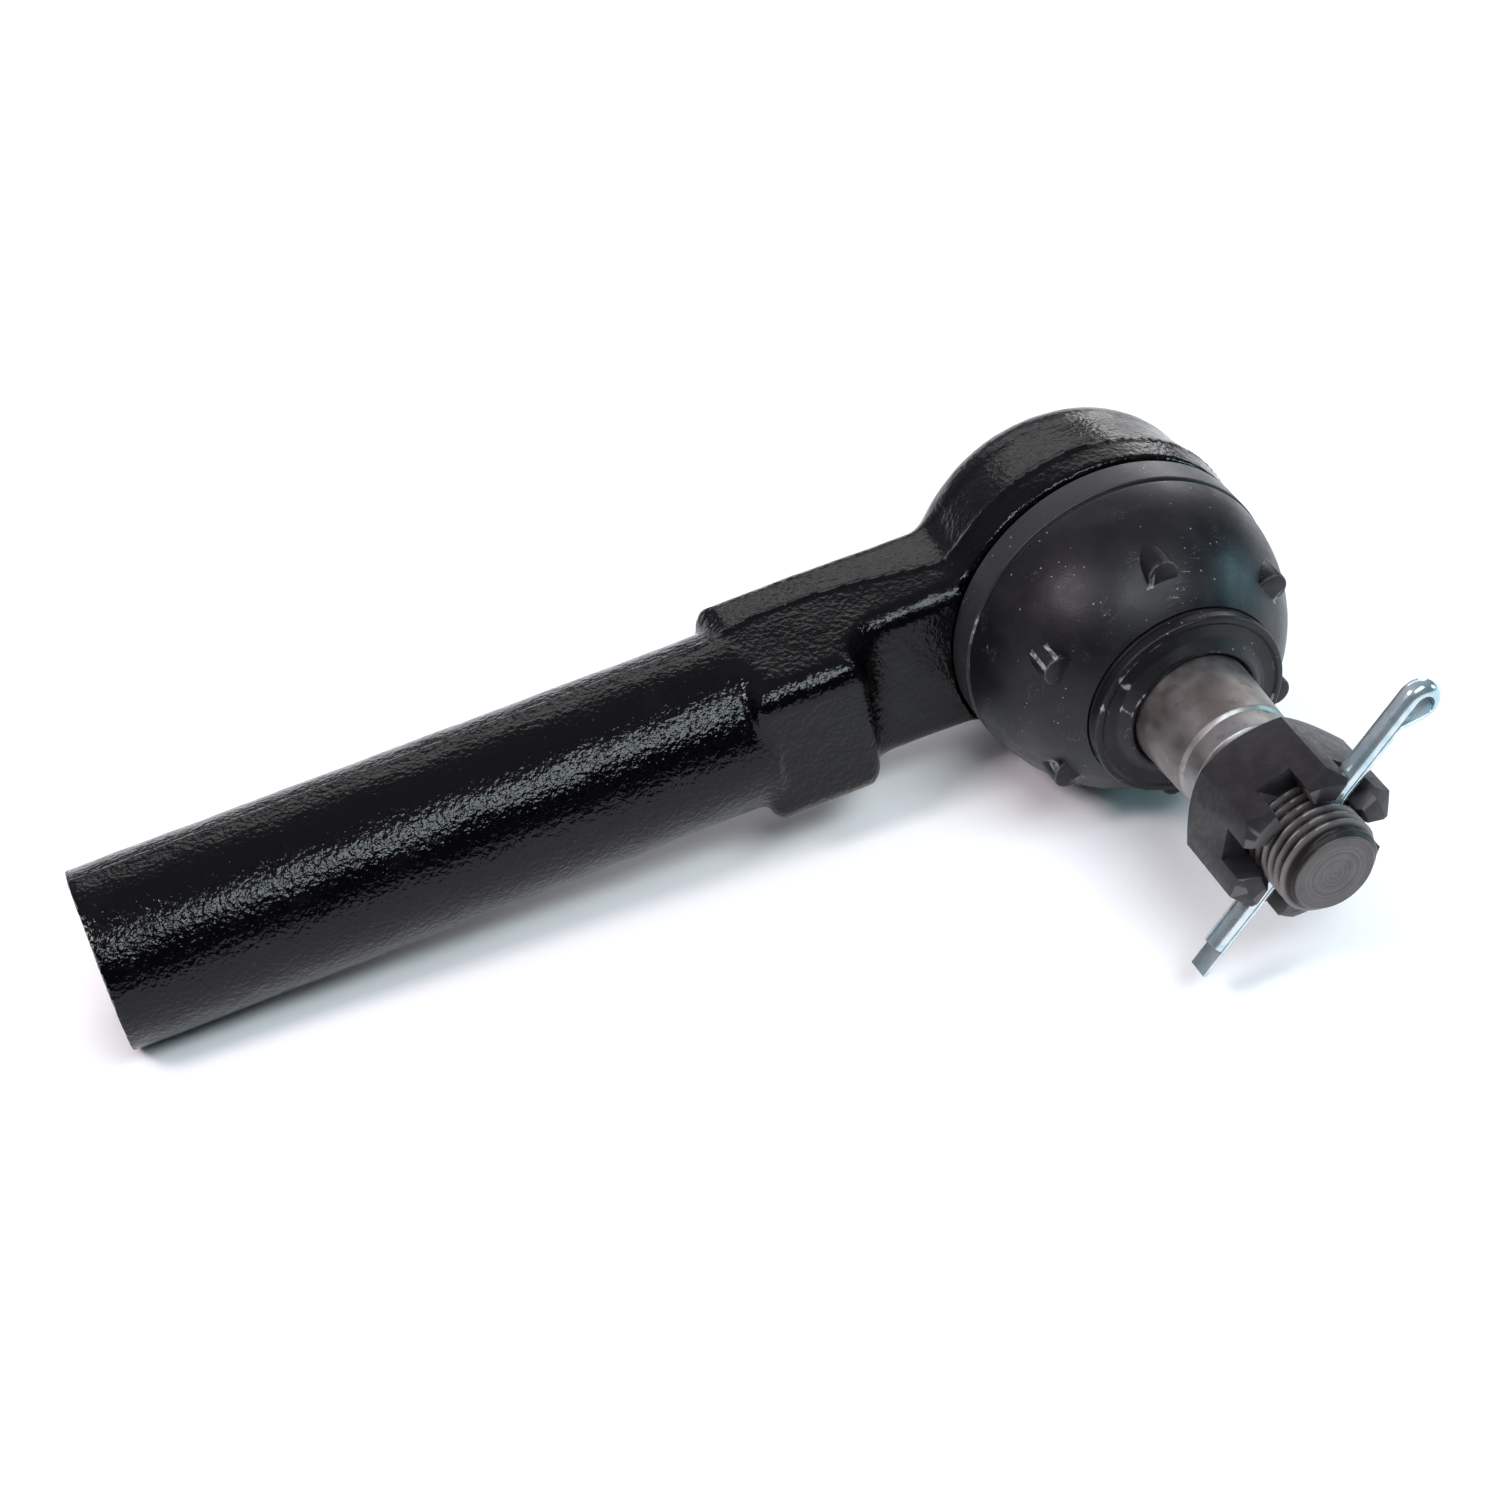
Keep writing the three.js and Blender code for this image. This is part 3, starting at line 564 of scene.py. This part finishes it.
def nub(turn):
    """A peg along the stud's direction that rises out of the dome: rounded outside, with a flat end face."""
    back_r, root_r, half, start, end = 18.55, 16, 2.2, 15.5, 24.9
    turns = np.linspace(-math.pi / 2, math.pi / 2, 17)
    back = [(half * math.sin(a), back_r + half * math.cos(a)) for a in turns]
    outline = [(-half + 0.2, root_r), *back, (half - 0.2, root_r)]
    peg = soften(prism("nub", outline, start, end), 0.3, 40)
    peg.data.transform(Matrix.Rotation(math.radians(90 - turn), 4, "Y"))
    return peg


def make_boot_crown():
    """The upper part of the boot's dome with its nubs and the collar round the stud."""
    inner, bore = DOME_R - WALL, 8.86
    ring_r = NECK_RING_HIGH.z + 0.3
    ring_low, ring_high = -NECK_RING_HIGH.y - 0.3, -NECK_RING_LOW.y + 0.3
    collar = rounded([
        (COLLAR_R - 0.1, 28.2, 0.5), (COLLAR_R - 0.25, 28.7, 0.3), (COLLAR_R, 29.05, 0.35),
        (COLLAR_R, COLLAR_END - 0.1, 0.45), (COLLAR_R - 0.9, COLLAR_END, 0.3),
        (COLLAR_R - 1.3, COLLAR_END - 0.25, 0.3), (LIP_R + 0.9, COLLAR_END - 0.1, 0.9),
        (LIP_R - 0.5, BOOT_END - 0.1, 0.5), (bore + 0.4, BOOT_END, 0.2),
        (bore, BOOT_END - 0.4, 0.15), (bore, ring_high), (ring_r, ring_high),
        (ring_r, ring_low), (bore, ring_low), (bore, 26.4, 0.4), (12.6, dome_reach(inner, 13) - 0.1)])
    outline = dome(DOME_R, BOOT_SEAM, dome_reach(DOME_R, COLLAR_R + 0.1), 26) + collar
    outline += dome(inner, dome_reach(inner, 13), BOOT_SEAM, 20)
    crown = turned("boot_crown", outline, 192)
    return combine(crown, [nub(30 + 60 * i) for i in range(6)], "UNION", 32)


# ---------------------------------------------------------------- materials

def material(name, **values):
    """A node material and its shader, with plain numbers set on the shader's own sockets."""
    made = bpy.data.materials.new(name)
    made.use_nodes = True
    shader = made.node_tree.nodes["Principled BSDF"]
    for key, value in values.items():
        shader.inputs[key.replace("_", " ")].default_value = value
    return made, shader


class Nodes:
    """Short ways to add the nodes of one material. Scales are in turns per millimetre."""

    def __init__(self, made, shader):
        self.tree = made.node_tree
        self.shader = shader
        self.place = self.add("ShaderNodeTexCoord").outputs["Object"]

    def add(self, kind, **values):
        node = self.tree.nodes.new(kind)
        for key, value in values.items():
            setattr(node, key, value)
        return node

    def link(self, source, target):
        self.tree.links.new(source, target)

    def stretched(self, x, y, z):
        node = self.add("ShaderNodeMapping")
        node.inputs["Scale"].default_value = (x / MM, y / MM, z / MM)
        self.link(self.place, node.inputs["Vector"])
        return node.outputs["Vector"]

    def noise(self, scale, detail=2.0, roughness=0.5, distortion=0.0, place=None):
        node = self.add("ShaderNodeTexNoise")
        self.link(place or self.stretched(scale, scale, scale), node.inputs["Vector"])
        node.inputs["Scale"].default_value = 1
        node.inputs["Detail"].default_value = detail
        node.inputs["Roughness"].default_value = roughness
        node.inputs["Distortion"].default_value = distortion
        return node.outputs["Fac"]

    def cells(self, scale):
        node = self.add("ShaderNodeTexVoronoi")
        self.link(self.stretched(scale, scale, scale), node.inputs["Vector"])
        node.inputs["Scale"].default_value = 1
        return node.outputs["Distance"]

    def ramp(self, value, low, high, start=0.0, end=1.0):
        node = self.add("ShaderNodeMapRange", clamp=True)
        node.interpolation_type = "SMOOTHSTEP"
        self.link(value, node.inputs["Value"])
        for key, number in (("From Min", low), ("From Max", high), ("To Min", start), ("To Max", end)):
            node.inputs[key].default_value = number
        return node.outputs["Result"]

    def calc(self, operation, a, b):
        """A Math node's result for two values, each a number or another node's output."""
        node = self.add("ShaderNodeMath", operation=operation)
        for socket, value in zip(node.inputs, (a, b)):
            if isinstance(value, (int, float)):
                socket.default_value = value
            else:
                self.link(value, socket)
        return node.outputs["Value"]

    def mix(self, share, a, b):
        node = self.add("ShaderNodeMix", data_type="RGBA")
        self.link(share, node.inputs["Factor"])
        for socket, value in ((node.inputs[6], a), (node.inputs[7], b)):
            if isinstance(value, tuple):
                socket.default_value = (*value, 1)
            else:
                self.link(value, socket)
        return node.outputs[2]

    def bump(self, height, distance, strength):
        node = self.add("ShaderNodeBump")
        node.inputs["Strength"].default_value = strength
        node.inputs["Distance"].default_value = distance * MM
        self.link(height, node.inputs["Height"])
        return node.outputs["Normal"]

    def coordinate(self, axis, sign=1):
        """One coordinate of the surface, in millimetres."""
        split = self.add("ShaderNodeSeparateXYZ")
        self.link(self.place, split.inputs["Vector"])
        return self.calc("MULTIPLY", split.outputs[axis], sign / MM)

    def along(self):
        """Distance from the ball's centre along the stud's axis, in millimetres."""
        return self.coordinate("Y", -1)

    def worn_edges(self):
        """A share that is 1 where the surface turns sharply outwards."""
        return self.ramp(self.add("ShaderNodeNewGeometry").outputs["Pointiness"], 0.53, 0.60)

    def radius(self):
        """Distance from the stud's axis, in millimetres."""
        flat = self.stretched(1, 0, 1)
        length = self.add("ShaderNodeVectorMath", operation="LENGTH")
        self.link(flat, length.inputs[0])
        return length.outputs["Value"]

    def finish(self, color=None, roughness=None, normal=None, metallic=None):
        given = {"Base Color": color, "Roughness": roughness, "Normal": normal, "Metallic": metallic}
        for key, value in given.items():
            if value is not None:
                self.link(value, self.shader.inputs[key])


def paint_material():
    """Thick black gloss paint over a pebbled forged skin, with specks of dust."""
    made, shader = material("black_paint", IOR=1.31)
    n = Nodes(made, shader)
    pebbles = n.noise(1.35, 2, 0.5)
    orange_peel = n.noise(0.42, 2, 0.5)
    height = n.calc("ADD", n.calc("MULTIPLY", pebbles, 0.75), n.calc("MULTIPLY", orange_peel, 0.3))
    head = n.ramp(n.coordinate("X"), BOSS_NEAR, BOSS_NEAR + 8)
    height = n.calc("MULTIPLY", height, n.calc("SUBTRACT", 1, n.calc("MULTIPLY", head, 0.32)))
    specks = n.ramp(n.cells(0.42), 0.05, 0.11, 1, 0)
    thin = n.ramp(n.noise(0.11, 3), 0.55, 0.75)
    base = n.mix(thin, (0.0012, 0.0010, 0.0014), (0.0028, 0.0024, 0.0030))
    color = n.mix(n.calc("MULTIPLY", specks, 0.12), base, (0.10, 0.10, 0.11))
    roughness = n.ramp(n.noise(0.6, 3), 0.3, 0.7, 0.08, 0.17)
    roughness = n.calc("ADD", roughness, n.calc("MULTIPLY", head, 0.07))
    n.finish(color, roughness, n.bump(height, 0.23, 1.0))
    return made


def rubber_material():
    """Moulded black rubber with a paler base band, dust, smears and fine scratches."""
    made, shader = material("boot_rubber", IOR=1.36)
    n = Nodes(made, shader)
    along = n.along()
    band_start = n.ramp(along, BAND_START, BAND_START + 0.4)
    band_end = n.ramp(along, BAND_END - 0.1, BAND_END + 0.2, 1, 0)
    band = n.calc("MULTIPLY", band_start, band_end)
    smears = n.ramp(n.noise(0.09, 4, 0.6, 0.6), 0.5, 0.72)
    skin = n.mix(smears, (0.0052, 0.0047, 0.0064), (0.0105, 0.0096, 0.0118))
    skin = n.mix(band, skin, (0.022, 0.022, 0.025))
    dust = n.ramp(n.cells(0.75), 0.05, 0.11, 1, 0)
    patches = n.ramp(n.noise(0.12, 2), 0.40, 0.60)
    streaks = n.noise(0.35, 1, 0.4, 2.5, n.stretched(0.12, 0.9, 0.2))
    scratches = n.ramp(n.calc("ABSOLUTE", n.calc("SUBTRACT", streaks, 0.5), 0), 0.0, 0.006, 1, 0)
    scratches = n.calc("MULTIPLY", scratches, n.ramp(n.noise(0.2, 1), 0.6, 0.66))
    marks = n.calc("MAXIMUM", n.calc("MULTIPLY", dust, patches), n.calc("MULTIPLY", scratches, 0.7))
    seam_start = n.ramp(along, BOOT_SEAM - 0.9, BOOT_SEAM - 0.7)
    seam_end = n.ramp(along, BOOT_SEAM + 0.7, BOOT_SEAM + 0.9, 1, 0)
    seam = n.calc("MULTIPLY", seam_start, seam_end)
    worn = n.calc("MULTIPLY", n.worn_edges(), n.calc("SUBTRACT", 1, seam))
    marks = n.calc("MAXIMUM", marks, n.calc("MULTIPLY", worn, n.ramp(n.noise(1.2, 3), 0.38, 0.58, 0.25, 1)))
    color = n.mix(n.calc("MULTIPLY", marks, 0.7), skin, (0.34, 0.34, 0.35))
    roughness = n.ramp(n.noise(0.25, 3), 0.3, 0.7, 0.34, 0.46)
    height = n.calc("ADD", n.noise(2.2, 3, 0.6), n.calc("MULTIPLY", n.noise(0.5, 2), 0.8))
    n.finish(color, roughness, n.bump(height, 0.03, 0.6))
    return made


def stud_material():
    """Bare turned steel: brownish satin taper, a brighter shoulder and a darker threaded end with painted
    shade in its thread roots.
    """
    made, shader = material("stud_steel")
    n = Nodes(made, shader)
    along = n.along()
    lines = n.noise(1, 2, 0.6, 0.0, n.stretched(0.05, 7, 0.05))
    radial = n.add("ShaderNodeCombineXYZ")
    n.link(n.calc("MULTIPLY", n.radius(), 3.2), radial.inputs["X"])
    rings = n.noise(1, 2, 0.6, 0.0, radial.outputs["Vector"])
    end_face = n.ramp(along, STUD_END - 0.25, STUD_END - 0.1)
    threaded = n.ramp(along, SHOULDER_END + 0.1, SHOULDER_END + 0.7)
    shoulder_start = n.ramp(along, SHOULDER_START, SHOULDER_START + 0.3)
    shoulder_end = n.ramp(along, SHOULDER_END, SHOULDER_END + 0.4, 1, 0)
    shoulder = n.calc("MULTIPLY", shoulder_start, shoulder_end)
    tint = n.ramp(n.noise(0.14, 3, 0.5, 0.4), 0.35, 0.68)
    color = n.mix(tint, (0.20, 0.175, 0.165), (0.30, 0.285, 0.28))
    color = n.mix(shoulder, color, (0.30, 0.29, 0.285))
    # Painted shade: the thread roots get a near-black colour and the crests a plain steel tone, so the
    # hollows look shaded.
    crest = n.ramp(n.radius(), 6.15, 6.75)
    color = n.mix(threaded, color, n.mix(crest, (0.022, 0.019, 0.019), (0.17, 0.152, 0.148)))
    turning = n.mix(n.ramp(rings, 0.35, 0.65), (0.078, 0.070, 0.069), (0.128, 0.117, 0.115))
    color = n.mix(end_face, color, turning)
    grime = n.ramp(n.noise(0.7, 3), 0.58, 0.75)
    color = n.mix(n.calc("MULTIPLY", grime, 0.4), color, (0.07, 0.062, 0.06))
    roughness = n.ramp(n.noise(0.5, 2), 0.3, 0.7, 0.40, 0.54)
    metallic = n.ramp(along, SHOULDER_END + 0.1, SHOULDER_END + 0.7, 0.95, 0.75)
    lines_height = n.calc("MULTIPLY", lines, n.calc("SUBTRACT", 1, end_face))
    height = n.calc("ADD", lines_height, n.calc("MULTIPLY", n.calc("MULTIPLY", rings, end_face), 3))
    n.finish(color, roughness, n.bump(height, 0.02, 0.7), metallic)
    return made


def nut_material():
    """Dark phosphated steel with faint mottling."""
    made, shader = material("nut_phosphate", Metallic=0.2, IOR=1.4)
    n = Nodes(made, shader)
    mottle = n.ramp(n.noise(0.4, 4, 0.6), 0.35, 0.7)
    color = n.mix(mottle, (0.0115, 0.010, 0.0125), (0.0195, 0.0175, 0.021))
    color = n.mix(n.calc("MULTIPLY", n.worn_edges(), 0.5), color, (0.16, 0.15, 0.15))
    roughness = n.ramp(n.noise(1.1, 3), 0.3, 0.7, 0.40, 0.52)
    height = n.noise(3.2, 3, 0.6)
    n.finish(color, roughness, n.bump(height, 0.015, 0.6))
    return made


def zinc_material():
    """Bright bluish zinc plating with drawn streaks."""
    made, shader = material("zinc_plate", Metallic=0.78)
    n = Nodes(made, shader)
    tone = n.ramp(n.noise(0.35, 3, 0.5, 0.6), 0.35, 0.68)
    color = n.mix(tone, (0.40, 0.54, 0.60), (0.64, 0.68, 0.70))
    streaks = n.noise(0.9, 2, 0.5)
    roughness = n.ramp(streaks, 0.35, 0.7, 0.15, 0.22)
    n.finish(color, roughness, n.bump(streaks, 0.02, 0.2))
    return made


def plain_steel_material():
    """Dark tempered spring steel with a faint drawn grain."""
    made, shader = material("spring_steel", Metallic=0.9)
    n = Nodes(made, shader)
    color = n.mix(n.ramp(n.noise(0.5, 3), 0.3, 0.7), (0.10, 0.10, 0.11), (0.17, 0.17, 0.18))
    n.finish(color, n.ramp(n.noise(1.5, 2), 0.3, 0.7, 0.3, 0.45), n.bump(n.noise(2.5, 2), 0.01, 0.5))
    return made


def resin_material():
    """Off-white moulded bearing resin, a little stained with grease."""
    made, shader = material("bearing_resin", IOR=1.48)
    n = Nodes(made, shader)
    color = n.mix(n.ramp(n.noise(0.2, 3), 0.4, 0.7), (0.70, 0.66, 0.52), (0.56, 0.50, 0.36))
    n.finish(color, n.ramp(n.noise(0.6, 2), 0.3, 0.7, 0.35, 0.5), n.bump(n.noise(1.5, 2), 0.01, 0.5))
    return made


def floor_material():
    """Pale matt studio board."""
    made, shader = material("pale_floor", Roughness=0.6)
    n = Nodes(made, shader)
    color = n.mix(n.ramp(n.noise(0.01, 2), 0.4, 0.6), (0.92, 0.92, 0.93), (0.94, 0.94, 0.945))
    n.finish(color)
    return made


def dress(piece, made):
    piece.data.materials.clear()
    piece.data.materials.append(made)
    return piece


# ---------------------------------------------------------------- pieces on their bodies

paint = paint_material()
rubber = rubber_material()
zinc = zinc_material()
spring_steel = plain_steel_material()
resin = resin_material()

housing = dress(make_housing(), paint)
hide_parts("housing")
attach(housing, "socket")

cover = dress(make_cover_plate(), paint)
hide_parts("cover_plate")
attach(cover, "socket")

nipple, nipple_head = make_grease_fitting()
dress(nipple, zinc)
dress(nipple_head, zinc)
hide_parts("grease_fitting")
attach(nipple, "socket")
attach(nipple_head, "socket")

stud = dress(make_stud(), stud_material())
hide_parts("ball_stud")
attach(stud, "stud")

nut = dress(make_nut(), nut_material())
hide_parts("castle_nut")
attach(nut, "stud")

pin = dress(make_pin(), zinc)
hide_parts("cotter_pin")
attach(pin, "pin")

skirt = dress(make_boot_skirt(), rubber)
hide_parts("dust_boot")
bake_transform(skirt)

crown = dress(make_boot_crown(), rubber)
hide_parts("dust_boot")
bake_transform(crown)

for node in ("preload_spring", "check_spring", "boot_base_ring", "boot_neck_ring", "check_ball"):
    dress(frame["nodes"][node], spring_steel)
for node in ("front_bearing", "rear_bearing"):
    dress(frame["nodes"][node], resin)


# ---------------------------------------------------------------- floor, light and camera

def light(name, place, target, size, power, color=(1, 1, 1), mirrored=True):
    """A soft rectangular light at a place, aimed at a target, in millimetres and watts.

    A light that isn't mirrored gives no reflection of itself in the part.
    """
    lamp = bpy.data.lights.new(name, "AREA")
    lamp.shape = "RECTANGLE"
    lamp.size, lamp.size_y = size[0] * MM, size[1] * MM
    lamp.energy = power
    lamp.color = color
    holder = bpy.data.objects.new(name, lamp)
    bpy.context.scene.collection.objects.link(holder)
    holder.visible_glossy = mirrored
    holder.location = Vector(place) * MM
    holder.rotation_euler = (Vector(target) - Vector(place)).to_track_quat("-Z", "Y").to_euler()


def make_floor():
    """The board that the part lies on: it touches the cup and the far end of the sleeve."""
    tilt = math.asin((CUP_R - SLEEVE_R) / -SLEEVE_END)
    half = 1500
    outline = [(-half, -half, 0), (half, -half, 0), (half, half, 0), (-half, half, 0)]
    floor = new_object("floor", outline, [(0, 1, 2, 3)])
    floor.rotation_euler = (0, tilt, 0)
    floor.location = Vector((0, 0, -CUP_R / math.cos(tilt) - FLOOR_GAP)) * MM
    dress(floor, floor_material())


def make_camera():
    """A long lens above the stud's side, looking down across the part from its sleeve end."""
    place = Vector((-134.8, -298.5, 264.7)) * MM
    lens = bpy.data.cameras.new("camera")
    lens.lens = 70.8
    lens.sensor_width = 36
    lens.clip_start = 0.01
    lens.clip_end = 20
    camera = bpy.data.objects.new("camera", lens)
    bpy.context.scene.collection.objects.link(camera)
    right, up = Vector((0.915, -0.379, -0.141)).normalized(), Vector((0.352, 0.575, 0.739))
    back = right.cross(up).normalized()
    up = back.cross(right)
    turn = Matrix((right, up, back)).transposed().to_4x4()
    camera.matrix_world = Matrix.Translation(place) @ turn
    bpy.context.scene.camera = camera


def make_world():
    """A soft ceiling and back wall that darken towards the room in front of the part."""
    world = bpy.data.worlds.new("studio")
    world.use_nodes = True
    tree = world.node_tree
    place = tree.nodes.new("ShaderNodeTexCoord")
    toward = tree.nodes.new("ShaderNodeVectorMath")
    toward.operation = "DOT_PRODUCT"
    toward.inputs[1].default_value = (0, 0.5, 0.866)
    tree.links.new(place.outputs["Generated"], toward.inputs[0])
    fade = tree.nodes.new("ShaderNodeMapRange")
    fade.interpolation_type = "SMOOTHSTEP"
    for key, number in (("From Min", 0.0), ("From Max", 0.9), ("To Min", 0.02), ("To Max", 0.34)):
        fade.inputs[key].default_value = number
    tree.links.new(toward.outputs["Value"], fade.inputs["Value"])
    tree.links.new(fade.outputs["Result"], tree.nodes["Background"].inputs["Strength"])
    tree.nodes["Background"].inputs["Color"].default_value = (0.99, 0.95, 1.05, 1)
    bpy.context.scene.world = world


make_floor()
light("key", (130, -520, 740), (-20, 0, 0), (620, 250), 5.6, (0.84, 0.95, 1))
light("left", (-430, -130, 590), (0, -20, 0), (160, 160), 2.3, (1, 0.89, 0.94))
light("right", (620, -150, 110), (0, -20, 0), (150, 150), 1.2, (0.45, 0.88, 1))
light("back", (330, 760, 520), (0, 0, 0), (1100, 380), 2.0)
light("rim", (640, 700, 200), (0, 0, 10), (340, 300), 1.6)
light("ceiling", (-100, 0, 1600), (-100, 0, 0), (2400, 2400), 18, (1, 1, 1), False)
make_camera()
make_world()
bpy.context.scene.view_settings.view_transform = "Standard"
